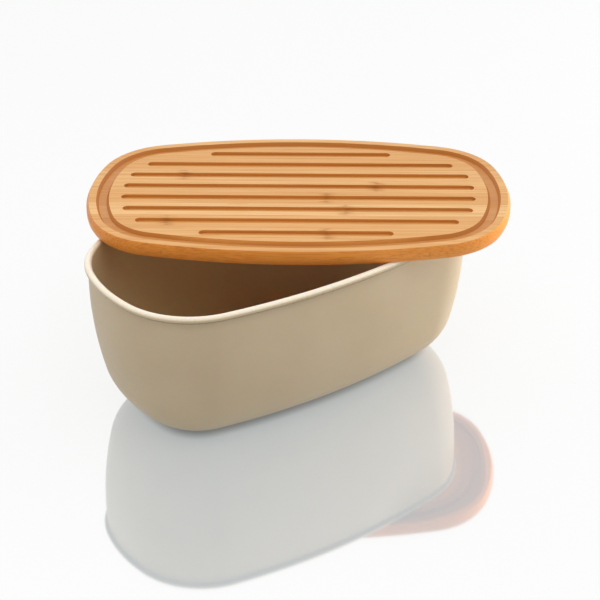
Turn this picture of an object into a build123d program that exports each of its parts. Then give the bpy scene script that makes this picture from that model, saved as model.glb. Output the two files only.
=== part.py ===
from build123d import *
import os
from math import acos, atan2, cos, degrees, hypot, pi, sin, sqrt

# Bread box: a moulded oval tub with a beaded rim, and a loose bamboo board that is both its lid and
# a cutting board. The board is glued up from strips in three layers. It lies askew on the rim,
# as it does when the box has just been opened.
# Millimetres, Z up. The origin is on the table at the middle of the tub, X runs along the tub.

# Tub, outside
TUB_LENGTH = 335.5
TUB_WIDTH = 194.5
TUB_HEIGHT = 133.0
TUB_SIDE_RADIUS = 567.0
TUB_END_RADIUS = 144.5
TUB_CORNER_RADIUS = 73.0

# Tub section
BEAD_RADIUS = 3.0
NECK_STEP = 2.9
WALL_BOW_RADIUS = 315.0
BASE_INSET = 57.8
BASE_RADIUS = 47.8
WALL = 3.4
BASE_FLATS = 4
WALL_FLATS = 3
BEAD_QUARTER_FLATS = 2

# Board outline
LID_LENGTH = 360.0
LID_WIDTH = 214.5
LID_SIDE_RADIUS = 552.0
LID_END_RADIUS = 153.5
LID_CORNER_RADIUS = 65.0
EDGE_SLOPE = 2.1

# Board layers and strips
LAYER_NAMES = ("lid_base_strip", "lid_core_strip", "lid_top_strip")
LAYER_THICKNESS = 4.0
STRIP_COUNT = 10

# Milling in the board's top
JUICE_GROOVE_INSET = 8.4
JUICE_GROOVE_WIDTH = 10.8
JUICE_GROOVE_FLOOR = 6.6
JUICE_GROOVE_DEPTH = 3.0
SLOT_PITCH = 21.0
SLOT_WIDTH = 8.0
SLOT_DEPTH = 2.6
SLOT_LENGTHS = (300.0, 293.0, 267.5, 159.0)

# Groove in the board's underside that drops over the rim when the box is closed
RIM_CLEARANCE = 0.8
RIM_GROOVE_DEPTH = 2.2

# Where the board lies on the rim
LID_X = 40.2
LID_Y = 33.5
LID_TURN = -35.6
LID_SEAT_GAP = 0.1

LID_THICKNESS = LAYER_THICKNESS * len(LAYER_NAMES)
TUB_OUTLINE = (TUB_LENGTH, TUB_WIDTH, TUB_SIDE_RADIUS, TUB_END_RADIUS, TUB_CORNER_RADIUS)
LID_OUTLINE = (LID_LENGTH, LID_WIDTH, LID_SIDE_RADIUS, LID_END_RADIUS, LID_CORNER_RADIUS)


def oval_edge(outline, inset=0.0):
    """An oval of tangent arcs, anticlockwise from its +X end.

    An inset oval has the same arc centres, so it keeps an even distance from the first one."""
    length, width, side_radius, end_radius, corner_radius = outline
    end_x = length / 2 - end_radius
    side_y = width / 2 - side_radius
    to_side = side_radius - corner_radius
    to_end = end_radius - corner_radius
    apart = hypot(end_x, side_y)
    along = (to_side**2 - to_end**2 + apart**2) / (2 * apart)
    across = sqrt(to_side**2 - along**2)
    corner_x = (end_x * along - side_y * across) / apart
    corner_y = side_y - (side_y * along + end_x * across) / apart
    end_turn = degrees(atan2(corner_y, corner_x - end_x))
    side_start = degrees(atan2(corner_y - side_y, corner_x))
    corner_turn = side_start - end_turn
    side_turn = 180 - 2 * side_start
    end_r = end_radius - inset
    side_r = side_radius - inset
    corner_r = corner_radius - inset
    arcs = [
        CenterArc((end_x, 0), end_r, 0, end_turn),
        CenterArc((corner_x, corner_y), corner_r, end_turn, corner_turn),
        CenterArc((0, side_y), side_r, side_start, side_turn),
        CenterArc((-corner_x, corner_y), corner_r, 180 - side_start, corner_turn),
        CenterArc((-end_x, 0), end_r, 180 - end_turn, 2 * end_turn),
        CenterArc((-corner_x, -corner_y), corner_r, 180 + end_turn, corner_turn),
        CenterArc((0, -side_y), side_r, 180 + side_start, side_turn),
        CenterArc((corner_x, -corner_y), corner_r, 360 - side_start, corner_turn),
        CenterArc((end_x, 0), end_r, 360 - end_turn, end_turn),
    ]
    return Wire([arc.edge() for arc in arcs])


def oval_plate(outline, inset, thickness):
    """A plate with an oval edge."""
    return extrude(Face(oval_edge(outline, inset)), thickness)


def oval_ring(outline, section):
    """Carries a section once round an oval. In the section X points outward from the oval's edge and
    Y points up."""
    placed = Pos(outline[0] / 2, 0, 0) * Rot(90, 0, 0) * section
    return sweep(placed, path=oval_edge(outline))


def round_points(centre, radius, start, end, flats):
    """Points on a circle between two angles, for a round stretch drawn as short flats."""
    points = []
    for number in range(flats + 1):
        angle = start + (end - start) * number / flats
        points.append(centre + (radius * cos(angle), radius * sin(angle)))
    return points


def wall_curve(top, centre, radius):
    """Points from the flat bottom up the base curve and the bowed wall to a point at the bead.

    The bow passes through that point and runs smoothly into the base curve."""
    reach = centre - top
    bow = WALL_BOW_RADIUS
    along = (bow**2 - (bow - radius) ** 2 + reach.length**2) / (2 * reach.length)
    aside = sqrt(bow**2 - along**2)
    ahead = reach.normalized()
    bow_centre = top + ahead * along + Vector(ahead.Y, -ahead.X) * aside
    join = atan2(centre.Y - bow_centre.Y, centre.X - bow_centre.X)
    end = atan2(top.Y - bow_centre.Y, top.X - bow_centre.X)
    base = round_points(centre, radius, -pi / 2, join, BASE_FLATS)
    wall = round_points(bow_centre, bow, join, end, WALL_FLATS)
    return base + wall[1:]


def tub_section():
    """The wall from the foot up the outside, round the bead and down the inside to the floor."""
    centre = Vector(-BASE_INSET, BASE_RADIUS)
    bead_middle = Vector(-BEAD_RADIUS, TUB_HEIGHT - BEAD_RADIUS)
    neck = -acos((BEAD_RADIUS - NECK_STEP) / BEAD_RADIUS)
    low = round_points(bead_middle, BEAD_RADIUS, neck, 0, BEAD_QUARTER_FLATS)
    high = round_points(bead_middle, BEAD_RADIUS, 0, pi, 2 * BEAD_QUARTER_FLATS)
    outside = wall_curve(low[0], centre, BASE_RADIUS)
    inside = wall_curve(high[-1], centre, BASE_RADIUS - WALL)
    return make_face(Polyline(*outside, *low[1:], *high[1:], *inside[-2::-1], close=True))


def make_tub():
    """The tub, one moulding."""
    floor = oval_plate(TUB_OUTLINE, BASE_INSET, WALL)
    return oval_ring(TUB_OUTLINE, tub_section()).fuse(floor)


def edge_section():
    """The board's edge: upright at the core, and sloping in across the top and the base layer."""
    upright = LID_THICKNESS - LAYER_THICKNESS
    return make_face(
        Polyline(
            (-EDGE_SLOPE, 0),
            (0, LAYER_THICKNESS),
            (0, upright),
            (-EDGE_SLOPE, LID_THICKNESS),
            (-JUICE_GROOVE_INSET, LID_THICKNESS),
            (-JUICE_GROOVE_INSET, 0),
            close=True,
        )
    )


def juice_groove_section():
    """A groove with sloping walls and a flat floor, in the board's top."""
    slope = (JUICE_GROOVE_WIDTH - JUICE_GROOVE_FLOOR) / 2
    floor = LID_THICKNESS - JUICE_GROOVE_DEPTH
    outside = -JUICE_GROOVE_INSET
    inside = outside - JUICE_GROOVE_WIDTH
    return make_face(
        Polyline(
            (outside, LID_THICKNESS),
            (outside - slope, floor),
            (inside + slope, floor),
            (inside, LID_THICKNESS),
            close=True,
        )
    )


def rim_groove_section():
    """A square groove in the board's underside, wider than the bead by a clearance on each side."""
    width = 2 * BEAD_RADIUS + 2 * RIM_CLEARANCE
    return Pos(-BEAD_RADIUS, RIM_GROOVE_DEPTH / 2) * Rectangle(width, RIM_GROOVE_DEPTH)


def make_board():
    """The whole board as it is milled after gluing, centred on Z with its underside at Z = 0."""
    plate = oval_plate(LID_OUTLINE, JUICE_GROOVE_INSET, LID_THICKNESS)
    board = oval_ring(LID_OUTLINE, edge_section()).fuse(plate)
    cutters = [oval_ring(LID_OUTLINE, juice_groove_section())]
    cutters.append(oval_ring(TUB_OUTLINE, rim_groove_section()))
    for number, length in enumerate(SLOT_LENGTHS):
        offset = (number + 0.5) * SLOT_PITCH
        slot = extrude(SlotOverall(length, SLOT_WIDTH), SLOT_DEPTH)
        for side in (-1, 1):
            cutters.append(Pos(0, side * offset, LID_THICKNESS - SLOT_DEPTH) * slot)
    return board.cut(*cutters)


def strip_joints(layer):
    """Where the glue lines between a layer's strips lie across the board. The core's lines are half
    a strip off the others."""
    width = LID_WIDTH / STRIP_COUNT
    joints = [width * number - LID_WIDTH / 2 for number in range(STRIP_COUNT + 1)]
    if LAYER_NAMES[layer] == "lid_core_strip":
        middles = [joint + width / 2 for joint in joints[:-1]]
        return [joints[0], *middles, joints[-1]]
    return joints


def make_strips(board):
    """Parts the board along its glue lines, as (name, solid)."""
    strips = []
    for layer, name in enumerate(LAYER_NAMES):
        joints = strip_joints(layer)
        height = (layer + 0.5) * LAYER_THICKNESS
        for number, (near, far) in enumerate(zip(joints, joints[1:]), start=1):
            block = Pos(0, (near + far) / 2, height) * Box(LID_LENGTH, far - near, LAYER_THICKNESS)
            strips.append((f"{name}_{number:02d}", board.intersect(block).solid()))
    return strips


os.makedirs("parts", exist_ok=True)
export_step(make_tub(), "parts/tub.step")
lid_place = Pos(LID_X, LID_Y, TUB_HEIGHT + LID_SEAT_GAP) * Rot(0, 0, LID_TURN)
for name, strip in make_strips(make_board()):
    export_step(lid_place * strip, f"parts/{name}.step")
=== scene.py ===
from math import acos, atan2, ceil, cos, hypot, pi, radians, sin, sqrt

import bpy
from mathutils import Matrix, Vector


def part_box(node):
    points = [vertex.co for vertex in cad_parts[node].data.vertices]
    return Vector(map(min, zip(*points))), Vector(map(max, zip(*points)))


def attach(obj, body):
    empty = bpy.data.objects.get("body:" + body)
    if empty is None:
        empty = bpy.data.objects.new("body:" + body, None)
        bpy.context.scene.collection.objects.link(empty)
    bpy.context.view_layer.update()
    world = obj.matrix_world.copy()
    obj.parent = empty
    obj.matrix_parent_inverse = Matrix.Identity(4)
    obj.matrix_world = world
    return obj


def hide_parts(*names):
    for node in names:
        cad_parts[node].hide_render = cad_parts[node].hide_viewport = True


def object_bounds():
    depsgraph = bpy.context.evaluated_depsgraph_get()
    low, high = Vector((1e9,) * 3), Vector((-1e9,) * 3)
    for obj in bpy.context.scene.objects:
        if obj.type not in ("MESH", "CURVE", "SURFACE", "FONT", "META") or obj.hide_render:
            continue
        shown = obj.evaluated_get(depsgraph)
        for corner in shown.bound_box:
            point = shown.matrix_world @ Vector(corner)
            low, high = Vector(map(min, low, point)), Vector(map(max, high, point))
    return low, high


# Materials, light and camera for the bread box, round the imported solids.
# Metres, Z up, in the solids' own frame.

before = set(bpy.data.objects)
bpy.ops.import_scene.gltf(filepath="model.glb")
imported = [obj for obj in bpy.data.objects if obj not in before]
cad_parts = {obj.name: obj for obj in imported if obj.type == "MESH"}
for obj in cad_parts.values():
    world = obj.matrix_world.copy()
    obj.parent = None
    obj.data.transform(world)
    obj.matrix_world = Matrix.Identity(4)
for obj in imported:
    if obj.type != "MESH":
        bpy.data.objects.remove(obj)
cad_low, cad_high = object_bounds()

# The photograph's camera, fitted to its outlines, in the tub's frame. Angles in degrees, lens in mm.
CAMERA_PLACE = (-0.68415, -1.04381, 0.80521)
CAMERA_PITCH = 30.570
CAMERA_YAW = -33.953
CAMERA_ROLL = -0.364
FOCAL_LENGTH = 102.426
SENSOR = 36.0
FARTHEST_VIEW = 50.0

# The studio: which way the bright side lies, how bright the two sides are, and between which shares of
# that direction one passes into the other
BRIGHT_SIDE = (0.82, 0.65, 0.30)
BRIGHT_STRENGTH = 1.22
DIM_STRENGTH = 0.32
BRIGHT_SPREAD = (-0.5, 0.35)

# Lamps: place, width and height, and watts. All face one point.
LAMP_TARGET = (0.02, 0.02, 0.08)
LAMPS = {
    "key": ((1.30, -0.25, 0.10), (0.9, 0.16), 19),
    "overhead": ((-0.25, -0.55, 1.45), (0.9, 0.7), 5.2),
    "fill": ((-1.2, -0.4, 0.45), (0.5, 0.5), 2.8),
}

# The floor: its size, how far it lies below the foot, its polish, and how far off and how deeply a
# painted contact shadow dims its glow round the box
FLOOR_SIZE = 30.0
FLOOR_GAP = 0.0002
FLOOR_ROUGHNESS = 0.05
FLOOR_IOR = 5.0
CONTACT_REACH = 0.009
CONTACT_SHADE = 0.25

# Ovals, as the solids have them: length, width, and the radii of sides, ends and corners
TUB_OUTLINE = (0.3355, 0.1945, 0.567, 0.1445, 0.073)
LID_OUTLINE = (0.360, 0.2145, 0.552, 0.1535, 0.065)

# The tub's section, as the solid has it
TUB_HEIGHT = 0.133
BEAD_RADIUS = 0.003
NECK_STEP = 0.0029
WALL_BOW_RADIUS = 0.315
BASE_INSET = 0.0578
BASE_RADIUS = 0.0478
WALL = 0.0034

# How finely the tub's skin is drawn: steps in each round, the most between two points along the rim, and
# the least angle in degrees that stays a sharp edge
BASE_STEPS = 16
WALL_STEPS = 10
BEAD_STEPS = 24
RIM_STEP = 0.004
SHARP_ANGLE = 35

# How the tub's moulding lets light in: its share, how far each colour goes, and the scale of that
TUB_TRANSLUCENCY = 0.35
TUB_SCATTER = (1.0, 0.5, 0.18)
TUB_SCATTER_DEPTH = 0.004

# The tub's patterns: how often clouds, specks and the fine skin repeat in a metre, how deep the skin is,
# and how softly the bead's smoother finish, the painted highlight on it and the painted shade under it
# begin
TUB_CLOUD_SCALE = 14
TUB_SPECK_SCALE = 1600
TUB_SKIN_SCALE = 420
TUB_SKIN_DEPTH = 0.00006
BEAD_FADE = 0.001

# The board as it lies on the rim. Layers are counted by a little more than their thickness, so that the
# board's top belongs to the top one.
LID_TURN = -35.6
STRIP_COUNT = 10
LAYER_COUNT = 3
LAYER_MARGIN = 1.005

# The board's edge: how deep it reaches in, how far its shading leans down at the foot and up at the top,
# and how nearly upright the normal of a face is that isn't part of it
EDGE_DEPTH = 0.004
EDGE_LEAN = (-0.55, 0.15)
LEVEL_FACE = 0.9

# Where juice groove and edge begin, in the measure of bamboo(), which is 0 in the middle of the board
# and about 1 at its edge, and the depths under the board's top between which the cut wood's darker tone,
# partly painted shade on the floors of slots and groove, fades out
GROOVE_ZONE = (0.53, 0.60)
EDGE_ZONE = (0.866, 0.881)
MILLED_AND_SHADE_DEPTH = (0.0012, 0.0001)

# The bamboo's patterns: how often they repeat in a metre along, across and through the board, how far a
# knuckle's line wanders, and how deep the grain is
CLOUD_SCALE = (9, 60, 60)
FIBRE_SCALE = (7, 900, 900)
VESSEL_SCALE = (30, 1900, 1900)
STREAK_SCALE = (60, 700, 700)
WAVE_SCALE = (0, 220, 220)
WAVE_HEIGHT = 0.006
GRAIN_DEPTH = 0.00012

# Where the bamboo's knuckles show: along and across the board, from its middle
KNUCKLES = (
    (-0.0995, 0.0382),
    (0.0660, 0.0190),
    (0.0239, -0.0060),
    (0.0403, -0.0255),
    (-0.1084, -0.0490),
    (0.0249, -0.0710),
)

# Distances from a knuckle's line between which the line and the glow round it fade out, and from the
# middle of its strip, where both begin to fade toward the seams
KNUCKLE_LINE = (0.0004, 0.0030)
KNUCKLE_GLOW = (0.001, 0.010)
KNUCKLE_HALF_WIDTH = 0.008

# Colours, linear
BAMBOO_PALE = (0.795, 0.478, 0.196, 1)
BAMBOO_WARM = (0.690, 0.350, 0.110, 1)
BAMBOO_FIBRE = (0.470, 0.185, 0.042, 1)
BAMBOO_KNUCKLE = (0.430, 0.150, 0.026, 1)
BAMBOO_SLOT = (0.620, 0.245, 0.044, 1)
BAMBOO_GROOVE = (0.470, 0.150, 0.018, 1)
BAMBOO_EDGE = (0.880, 0.315, 0.050, 1)
BAMBOO_EDGE_FIBRE = (0.600, 0.165, 0.022, 1)
TUB_COLOUR = (0.535, 0.420, 0.273, 1)
TUB_SHADE = (0.507, 0.391, 0.247, 1)
# Painted light on the tub: a highlight on the bead's top, shade in the hollow under the bead, and light
# inside
TUB_BEAD_HIGHLIGHT = (0.830, 0.755, 0.620, 1)
TUB_CREASE_SHADE = (0.220, 0.162, 0.095, 1)
TUB_INSIDE_LIGHT = (0.700, 0.550, 0.335, 1)
FLOOR_COLOUR = (0.180, 0.190, 0.195, 1)
FLOOR_GLOW = (0.310, 0.355, 0.380, 1)
FLOOR_SHEEN = (1.000, 0.910, 0.855, 1)

LID_NODES = sorted(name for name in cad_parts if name.startswith("lid_"))


def box_of(names):
    """Lowest and highest corner of several nodes together."""
    corners = [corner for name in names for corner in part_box(name)]
    low = Vector([min(corner[axis] for corner in corners) for axis in range(3)])
    high = Vector([max(corner[axis] for corner in corners) for axis in range(3)])
    return low, high


LID_LOW, LID_HIGH = box_of(LID_NODES)
LID_MIDDLE = (LID_LOW + LID_HIGH) / 2
LID_THICKNESS = LID_HIGH.z - LID_LOW.z
LID_LENGTH, LID_WIDTH = LID_OUTLINE[:2]
STRIP_WIDTH = LID_WIDTH / STRIP_COUNT
LAYER_THICKNESS = LID_THICKNESS / LAYER_COUNT


def oval_arcs(outline):
    """An oval's tangent arcs, anticlockwise from its +X end, as (centre, radius, start, end)."""
    length, width, side_radius, end_radius, corner_radius = outline
    end_x = length / 2 - end_radius
    side_y = width / 2 - side_radius
    to_side = side_radius - corner_radius
    to_end = end_radius - corner_radius
    apart = hypot(end_x, side_y)
    along = (to_side**2 - to_end**2 + apart**2) / (2 * apart)
    across = sqrt(to_side**2 - along**2)
    corner_x = (end_x * along - side_y * across) / apart
    corner_y = side_y - (side_y * along + end_x * across) / apart
    end_turn = atan2(corner_y, corner_x - end_x)
    side_start = atan2(corner_y - side_y, corner_x)
    quarter = [
        (Vector((end_x, 0)), end_radius, 0, end_turn),
        (Vector((corner_x, corner_y)), corner_radius, end_turn, side_start),
        (Vector((0, side_y)), side_radius, side_start, pi / 2),
    ]
    arcs = []
    for turn in range(4):
        for centre, radius, start, end in quarter if turn % 2 == 0 else quarter[::-1]:
            if turn % 2 == 0:
                span = (start + pi / 2 * turn, end + pi / 2 * turn)
            else:
                span = (pi / 2 * (turn + 1) - end, pi / 2 * (turn + 1) - start)
            signs = ((1, 1), (-1, 1), (-1, -1), (1, -1))[turn]
            arcs.append((Vector((centre.x * signs[0], centre.y * signs[1])), radius, *span))
    return arcs


def oval_edge(outline, step):
    """Points round an oval and the outward direction at each, with no more than step between them."""
    points = []
    for centre, radius, start, end in oval_arcs(outline):
        count = ceil(radius * (end - start) / step)
        for number in range(count):
            angle = start + (end - start) * number / count
            outward = Vector((cos(angle), sin(angle)))
            points.append((centre + radius * outward, outward))
    return points


class Nodes:
    """A material's node tree, with short calls for the nodes that the materials share."""

    def __init__(self, name):
        self.material = bpy.data.materials.new(name)
        self.material.use_nodes = True
        self.tree = self.material.node_tree
        self.shader = self.tree.nodes["Principled BSDF"]

    def link(self, value, socket):
        """Links an output to a socket, or sets a plain value on it."""
        if isinstance(value, bpy.types.NodeSocket):
            self.tree.links.new(value, socket)
        else:
            socket.default_value = value

    def node(self, kind, **settings):
        node = self.tree.nodes.new(kind)
        for key, value in settings.items():
            setattr(node, key, value)
        return node

    def math(self, operation, *values):
        node = self.node("ShaderNodeMath", operation=operation)
        for value, socket in zip(values, node.inputs):
            self.link(value, socket)
        return node.outputs[0]

    def mix(self, factor, first, second, blend="MIX"):
        node = self.node("ShaderNodeMix", data_type="RGBA", blend_type=blend)
        self.link(factor, node.inputs["Factor"])
        self.link(first, node.inputs["A"])
        self.link(second, node.inputs["B"])
        return node.outputs["Result"]

    def ramp(self, value, low, high, to_low=0.0, to_high=1.0):
        """Carries value from one range to another with soft ends, and clamps it there."""
        node = self.node("ShaderNodeMapRange", interpolation_type="SMOOTHSTEP")
        for given, socket in zip((value, low, high, to_low, to_high), node.inputs):
            self.link(given, socket)
        return node.outputs["Result"]

    def noise(self, vector, scale=1.0, detail=3.0, roughness=0.5, distortion=0.0):
        node = self.node("ShaderNodeTexNoise")
        self.link(vector, node.inputs["Vector"])
        self.link(scale, node.inputs["Scale"])
        self.link(detail, node.inputs["Detail"])
        self.link(roughness, node.inputs["Roughness"])
        self.link(distortion, node.inputs["Distortion"])
        return node.outputs[0]

    def stretch(self, vector, scale):
        node = self.node("ShaderNodeVectorMath", operation="MULTIPLY")
        self.link(vector, node.inputs[0])
        self.link(scale, node.inputs[1])
        return node.outputs[0]

    def bump(self, height, distance, strength=1.0):
        node = self.node("ShaderNodeBump")
        self.link(height, node.inputs["Height"])
        self.link(distance, node.inputs["Distance"])
        self.link(strength, node.inputs["Strength"])
        self.link(node.outputs["Normal"], self.shader.inputs["Normal"])


def bamboo():
    """Bamboo strips: a tone for each strip, long fibres, dark vessels and knuckles.

    All of it is laid out along the board, whose X runs along the strips."""
    n = Nodes("bamboo")
    place = n.node("ShaderNodeTexCoord").outputs["Object"]
    board = n.node("ShaderNodeMapping", vector_type="TEXTURE")
    n.link(place, board.inputs["Vector"])
    n.link((LID_MIDDLE.x, LID_MIDDLE.y, LID_LOW.z), board.inputs["Location"])
    n.link((0, 0, radians(LID_TURN)), board.inputs["Rotation"])
    board = board.outputs["Vector"]
    split = n.node("ShaderNodeSeparateXYZ")
    n.link(board, split.inputs[0])
    along, across, height = split.outputs

    layer = n.math("FLOOR", n.math("DIVIDE", height, LAYER_THICKNESS * LAYER_MARGIN))
    in_core = n.math("COMPARE", layer, 1.0, 0.1)
    strip_place = n.math("ADD", n.math("DIVIDE", across, STRIP_WIDTH), n.math("MULTIPLY", in_core, 0.5))
    strip = n.math("FLOOR", strip_place)
    key = n.node("ShaderNodeCombineXYZ")
    n.link(strip, key.inputs["X"])
    n.link(layer, key.inputs["Y"])
    chance = n.node("ShaderNodeTexWhiteNoise", noise_dimensions="2D")
    n.link(key.outputs[0], chance.inputs["Vector"])
    tone, drift = chance.outputs["Value"], chance.outputs["Color"]

    own = n.node("ShaderNodeVectorMath", operation="ADD")
    n.link(board, own.inputs[0])
    n.link(drift, own.inputs[1])
    own = own.outputs[0]
    cloud = n.noise(n.stretch(own, CLOUD_SCALE), detail=2)
    fibre = n.noise(n.stretch(own, FIBRE_SCALE), detail=4, roughness=0.6)
    vessel = n.noise(n.stretch(own, VESSEL_SCALE), detail=2)

    knots = 0.0
    halo = 0.0
    sway = n.math("SUBTRACT", n.noise(n.stretch(own, WAVE_SCALE)), 0.5)
    wave = n.math("MULTIPLY", sway, WAVE_HEIGHT)
    for knuckle_along, knuckle_across in KNUCKLES:
        middle = (knuckle_across // STRIP_WIDTH + 0.5) * STRIP_WIDTH
        off_middle = n.math("ABSOLUTE", n.math("SUBTRACT", across, middle))
        in_strip = n.ramp(off_middle, KNUCKLE_HALF_WIDTH, STRIP_WIDTH / 2, 1, 0)
        away = n.math("ABSOLUTE", n.math("ADD", n.math("SUBTRACT", along, knuckle_along), wave))
        line = n.math("MULTIPLY", n.ramp(away, *KNUCKLE_LINE, 1, 0), in_strip)
        glow = n.math("MULTIPLY", n.ramp(away, *KNUCKLE_GLOW, 1, 0), in_strip)
        knots = n.math("MAXIMUM", line, knots)
        halo = n.math("MAXIMUM", glow, halo)
    on_top = n.math("COMPARE", layer, LAYER_COUNT - 1.0, 0.1)
    knots = n.math("MULTIPLY", knots, on_top)
    halo = n.math("MULTIPLY", halo, on_top)

    body = n.math("ADD", n.math("MULTIPLY", tone, 0.55), n.math("MULTIPLY", cloud, 0.5))
    colour = n.mix(n.ramp(body, 0.2, 0.85), BAMBOO_PALE, BAMBOO_WARM)

    facing = n.node("ShaderNodeSeparateXYZ")
    n.link(n.node("ShaderNodeNewGeometry").outputs["Normal"], facing.inputs[0])
    side = n.ramp(facing.outputs["Z"], 0.60, 0.97, 0.92, 0)
    # The floors of slots and groove are darker: the cut wood's own deeper tone, and painted shade in
    # these recesses.
    below = n.ramp(height, LID_THICKNESS - MILLED_AND_SHADE_DEPTH[0], LID_THICKNESS - MILLED_AND_SHADE_DEPTH[1], 0.6, 0)
    milled_and_shade = n.math("MAXIMUM", side, below)
    ends = n.math("POWER", n.math("ABSOLUTE", n.math("DIVIDE", along, LID_LENGTH / 2)), 3)
    sides = n.math("POWER", n.math("ABSOLUTE", n.math("DIVIDE", across, LID_WIDTH / 2)), 3)
    from_middle = n.math("ADD", ends, sides)
    worked = n.mix(n.ramp(from_middle, *GROOVE_ZONE), BAMBOO_SLOT, BAMBOO_GROOVE)
    outer = n.ramp(from_middle, *EDGE_ZONE)
    worked = n.mix(outer, worked, BAMBOO_EDGE)
    colour = n.mix(milled_and_shade, colour, worked)

    dark = n.mix(n.math("MULTIPLY", outer, side), BAMBOO_FIBRE, BAMBOO_EDGE_FIBRE)
    colour = n.mix(n.ramp(fibre, 0.42, 0.72, 0, 0.62), colour, dark)
    colour = n.mix(n.ramp(vessel, 0.60, 0.70, 0, 0.45), colour, dark)
    streaks = n.ramp(n.noise(n.stretch(own, STREAK_SCALE), detail=2), 0.40, 0.65)
    colour = n.mix(n.math("MULTIPLY", halo, n.math("MULTIPLY", streaks, 0.95)), colour, BAMBOO_FIBRE)
    colour = n.mix(n.math("MULTIPLY", knots, n.ramp(streaks, 0, 1, 0.20, 0.55)), colour, BAMBOO_KNUCKLE)
    seam = n.math("PINGPONG", strip_place, 0.5)
    colour = n.mix(n.ramp(seam, 0.002, 0.012, 0.4, 0), colour, BAMBOO_FIBRE)
    n.link(colour, n.shader.inputs["Base Color"])

    n.link(n.ramp(fibre, 0.3, 0.7, 0.36, 0.52), n.shader.inputs["Roughness"])
    n.link(0.25, n.shader.inputs["Specular IOR Level"])
    grain = n.math("SUBTRACT", fibre, n.math("MULTIPLY", n.ramp(vessel, 0.6, 0.75), 0.5))
    n.bump(grain, GRAIN_DEPTH, 0.6)
    return n.material


def moulded():
    """The tub's satin moulding: faintly clouded, with a fine skin that is smoother on the bead. Painted
    light makes it lighter inside, a painted highlight lightens the top of the bead, and painted shade
    darkens the hollow under the bead."""
    n = Nodes("moulded_tub")
    place = n.node("ShaderNodeTexCoord").outputs["Object"]
    split = n.node("ShaderNodeSeparateXYZ")
    n.link(place, split.inputs[0])
    cloud = n.noise(place, TUB_CLOUD_SCALE, detail=3)
    speck = n.noise(place, TUB_SPECK_SCALE, detail=2)
    skin = n.noise(place, TUB_SKIN_SCALE, detail=3)
    colour = n.mix(n.ramp(cloud, 0.3, 0.7), TUB_COLOUR, TUB_SHADE)
    colour = n.mix(n.ramp(speck, 0.62, 0.75, 0, 0.12), colour, BAMBOO_FIBRE)
    bead_low = TUB_HEIGHT - 2 * BEAD_RADIUS
    rim = n.ramp(split.outputs["Z"], bead_low - BEAD_FADE, bead_low + BEAD_FADE)
    normal = n.node("ShaderNodeNewGeometry").outputs["Normal"]
    facing = n.node("ShaderNodeSeparateXYZ")
    n.link(normal, facing.inputs[0])
    outward = n.node("ShaderNodeVectorMath", operation="DOT_PRODUCT")
    n.link(normal, outward.inputs[0])
    n.link(n.stretch(place, (1, 1, 0)), outward.inputs[1])
    inner_wall = n.ramp(outward.outputs["Value"], -0.02, 0, 1, 0)
    inner_floor = n.ramp(facing.outputs["Z"], 0.2, 0.6)
    inside = n.math("MAXIMUM", inner_wall, inner_floor)
    # Painted light: the inside walls and floor take a lighter copy of the moulding's colour.
    colour = n.mix(inside, colour, TUB_INSIDE_LIGHT)
    # Painted highlight: the bead's upward-facing top takes a lighter colour.
    crown_highlight = n.math("MULTIPLY", rim, n.ramp(facing.outputs["Z"], 0.05, 0.90))
    colour = n.mix(crown_highlight, colour, TUB_BEAD_HIGHLIGHT)
    # Painted shade: the bead's underside, where it turns in to meet the wall, takes a dark colour.
    crease_shade = n.math("MULTIPLY", rim, n.ramp(facing.outputs["Z"], -0.60, -0.05, 0.9, 0))
    colour = n.mix(crease_shade, colour, TUB_CREASE_SHADE)
    n.link(colour, n.shader.inputs["Base Color"])
    rough = n.ramp(skin, 0.3, 0.7, 0.40, 0.50)
    n.link(n.math("SUBTRACT", rough, n.math("MULTIPLY", rim, 0.14)), n.shader.inputs["Roughness"])
    n.link(0.45, n.shader.inputs["Specular IOR Level"])
    n.link(TUB_TRANSLUCENCY, n.shader.inputs["Subsurface Weight"])
    n.link(TUB_SCATTER, n.shader.inputs["Subsurface Radius"])
    n.link(TUB_SCATTER_DEPTH, n.shader.inputs["Subsurface Scale"])
    n.bump(n.math("ADD", skin, n.math("MULTIPLY", speck, 0.3)), TUB_SKIN_DEPTH, 0.5)
    return n.material


def give(names, material):
    """The nodes' only material becomes this one."""
    for name in names:
        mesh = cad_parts[name].data
        mesh.materials.clear()
        mesh.materials.append(material)


def arc(centre, radius, start, end, count):
    """Points on a circle between two angles."""
    angles = [start + (end - start) * number / count for number in range(count + 1)]
    return [centre + radius * Vector((cos(angle), sin(angle))) for angle in angles]


def wall_curve(top, centre, radius):
    """Points from the flat bottom up the base curve and the bowed wall to a point at the bead."""
    reach = centre - top
    bow = WALL_BOW_RADIUS
    along = (bow**2 - (bow - radius) ** 2 + reach.length**2) / (2 * reach.length)
    aside = sqrt(bow**2 - along**2)
    ahead = reach.normalized()
    bow_centre = top + ahead * along + Vector((ahead.y, -ahead.x)) * aside
    join = atan2(centre.y - bow_centre.y, centre.x - bow_centre.x)
    end = atan2(top.y - bow_centre.y, top.x - bow_centre.x)
    base = arc(centre, radius, -pi / 2, join, BASE_STEPS)
    wall = arc(bow_centre, bow, join, end, WALL_STEPS)
    return base + wall[1:]


def tub_section():
    """The tub's wall with true rounds, as (outward from the rim's edge, height), from foot to floor."""
    centre = Vector((-BASE_INSET, BASE_RADIUS))
    bead_middle = Vector((-BEAD_RADIUS, TUB_HEIGHT - BEAD_RADIUS))
    neck = -acos((BEAD_RADIUS - NECK_STEP) / BEAD_RADIUS)
    bead = arc(bead_middle, BEAD_RADIUS, neck, pi, BEAD_STEPS)
    outside = wall_curve(bead[0], centre, BASE_RADIUS)
    inside = wall_curve(bead[-1], centre, BASE_RADIUS - WALL)
    return outside + bead[1:] + inside[-2::-1]


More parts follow.
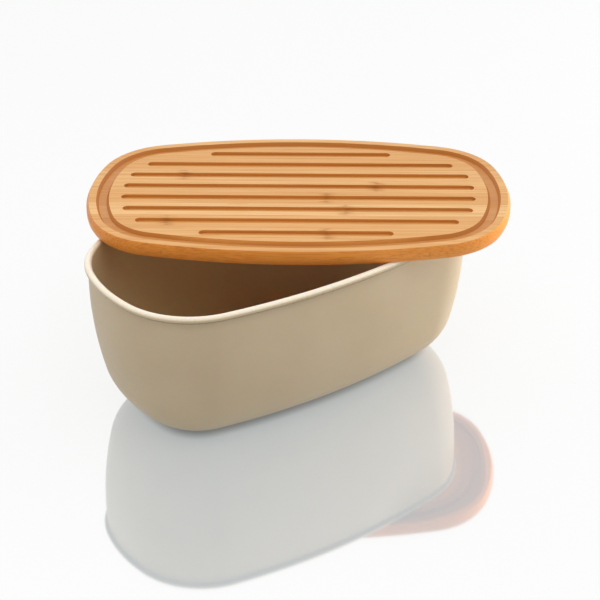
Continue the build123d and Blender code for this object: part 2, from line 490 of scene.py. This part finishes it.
def tub_skin():
    """The moulding as one smooth surface, in the place of the solid, whose rounds are short flats."""
    section = tub_section()
    edge = oval_edge(TUB_OUTLINE, RIM_STEP)
    points = []
    for place, outward in edge:
        for out, up in section:
            spot = place + outward * out
            points.append((spot.x, spot.y, up))
    rings, rows = len(edge), len(section)
    faces = []
    for ring in range(rings):
        ahead = (ring + 1) % rings
        for row in range(rows - 1):
            near, far = ring * rows + row, ahead * rows + row
            faces.append((near, far, far + 1, near + 1))
    faces.append([ring * rows for ring in reversed(range(rings))])
    faces.append([ring * rows + rows - 1 for ring in range(rings)])
    mesh = bpy.data.meshes.new("tub_skin")
    mesh.from_pydata(points, [], faces)
    mesh.shade_smooth()
    mesh.set_sharp_from_angle(angle=radians(SHARP_ANGLE))
    skin = bpy.data.objects.new("tub_skin", mesh)
    bpy.context.scene.collection.objects.link(skin)
    mesh.materials.append(moulded())
    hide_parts("tub")
    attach(skin, "tub")


def outward_at(spot, arcs):
    """The direction away from an oval at a point near its edge, and how far inside the edge it lies."""
    angle = atan2(spot.y, spot.x)
    best = None
    for centre, radius, start, end in arcs:
        away = spot - centre
        turn = (atan2(away.y, away.x) - start) % (2 * pi)
        if turn <= end - start + 1e-6:
            inset = radius - away.length
            if best is None or abs(inset) < abs(best[1]):
                best = (away.normalized(), inset)
    return best or (Vector((cos(angle), sin(angle))), 1.0)


def round_edge(name, arcs):
    """Shades the board's edge as one curve across its layers, turned under at the foot. The solid stays
    as it is."""
    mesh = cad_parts[name].data
    mesh.polygons.foreach_set("use_smooth", [True] * len(mesh.polygons))
    middle = Vector((LID_MIDDLE.x, LID_MIDDLE.y))
    turn = Matrix.Rotation(radians(LID_TURN), 2)
    back = turn.inverted()
    normals = [corner.vector.copy() for corner in mesh.corner_normals]
    for face in mesh.polygons:
        if abs(face.normal.z) > LEVEL_FACE:
            continue
        if outward_at(back @ (face.center.xy - middle), arcs)[1] > EDGE_DEPTH:
            continue
        for loop in face.loop_indices:
            spot = mesh.vertices[mesh.loops[loop].vertex_index].co
            outward = turn @ outward_at(back @ (spot.xy - middle), arcs)[0]
            share = (spot.z - LID_LOW.z) / LID_THICKNESS
            rise = EDGE_LEAN[0] + (EDGE_LEAN[1] - EDGE_LEAN[0]) * share
            level = sqrt(1 - rise**2)
            normals[loop] = Vector((outward.x * level, outward.y * level, rise))
    mesh.normals_split_custom_set(normals)


def floor():
    """A pale polished floor that glows evenly and mirrors the box faintly, with a painted contact shadow
    where the box stands on it.
    """
    bpy.ops.mesh.primitive_plane_add(size=FLOOR_SIZE, location=(0, 0, cad_low.z - FLOOR_GAP))
    plane = bpy.context.object
    plane.name = "floor"
    n = Nodes("floor")
    n.link(FLOOR_COLOUR, n.shader.inputs["Base Color"])
    n.link(FLOOR_GLOW, n.shader.inputs["Emission Color"])
    # Painted contact shadow: ambient occlusion dims the floor's glow near the box.
    open_sky = n.node("ShaderNodeAmbientOcclusion", samples=8)
    n.link(CONTACT_REACH, open_sky.inputs["Distance"])
    shade = n.ramp(open_sky.outputs["AO"], 0.0, 0.8, CONTACT_SHADE, 1.0)
    n.link(shade, n.shader.inputs["Emission Strength"])
    n.link(FLOOR_ROUGHNESS, n.shader.inputs["Roughness"])
    n.link(FLOOR_IOR, n.shader.inputs["IOR"])
    n.link(FLOOR_SHEEN, n.shader.inputs["Specular Tint"])
    plane.data.materials.append(n.material)


def softbox(name, place, target, size, power):
    """A soft lamp that faces a point. The floor doesn't mirror it."""
    data = bpy.data.lights.new(name, "AREA")
    data.shape = "RECTANGLE"
    data.size, data.size_y = size
    data.energy = power
    lamp = bpy.data.objects.new(name, data)
    lamp.location = place
    lamp.visible_glossy = False
    lamp.rotation_euler = (Vector(target) - Vector(place)).to_track_quat("-Z", "Y").to_euler()
    bpy.context.scene.collection.objects.link(lamp)


def surroundings():
    """A white studio, bright behind the box and to its right, dimmer on the camera's side."""
    world = bpy.data.worlds.new("studio")
    world.use_nodes = True
    bpy.context.scene.world = world
    tree = world.node_tree
    direction = tree.nodes.new("ShaderNodeTexCoord")
    toward = tree.nodes.new("ShaderNodeVectorMath")
    toward.operation = "DOT_PRODUCT"
    toward.inputs[1].default_value = Vector(BRIGHT_SIDE).normalized()
    strength = tree.nodes.new("ShaderNodeMapRange")
    strength.inputs["From Min"].default_value = BRIGHT_SPREAD[0]
    strength.inputs["From Max"].default_value = BRIGHT_SPREAD[1]
    strength.inputs["To Min"].default_value = DIM_STRENGTH
    strength.inputs["To Max"].default_value = BRIGHT_STRENGTH
    tree.links.new(direction.outputs["Generated"], toward.inputs[0])
    tree.links.new(toward.outputs["Value"], strength.inputs["Value"])
    tree.links.new(strength.outputs["Result"], tree.nodes["Background"].inputs["Strength"])
    tree.nodes["Background"].inputs["Color"].default_value = (1, 1, 1, 1)


def lamps():
    """A low key lamp at the right, a weaker one overhead and a weak one at the left."""
    for name, (place, size, power) in LAMPS.items():
        softbox(name, place, LAMP_TARGET, size, power)


def camera():
    """The photograph's viewpoint."""
    data = bpy.data.cameras.new("camera")
    data.sensor_width = SENSOR
    data.lens = FOCAL_LENGTH
    data.clip_end = FARTHEST_VIEW
    viewer = bpy.data.objects.new("camera", data)
    viewer.location = CAMERA_PLACE
    yaw = Matrix.Rotation(radians(CAMERA_YAW), 3, "Z")
    tilt = Matrix.Rotation(radians(90 - CAMERA_PITCH), 3, "X")
    roll = Matrix.Rotation(radians(CAMERA_ROLL), 3, "Z")
    viewer.rotation_euler = (yaw @ tilt @ roll).to_euler()
    bpy.context.scene.collection.objects.link(viewer)
    bpy.context.scene.camera = viewer


give(LID_NODES, bamboo())
lid_arcs = oval_arcs(LID_OUTLINE)
for node_name in LID_NODES:
    round_edge(node_name, lid_arcs)
tub_skin()
floor()
surroundings()
lamps()
camera()
bpy.context.scene.view_settings.view_transform = "Standard"
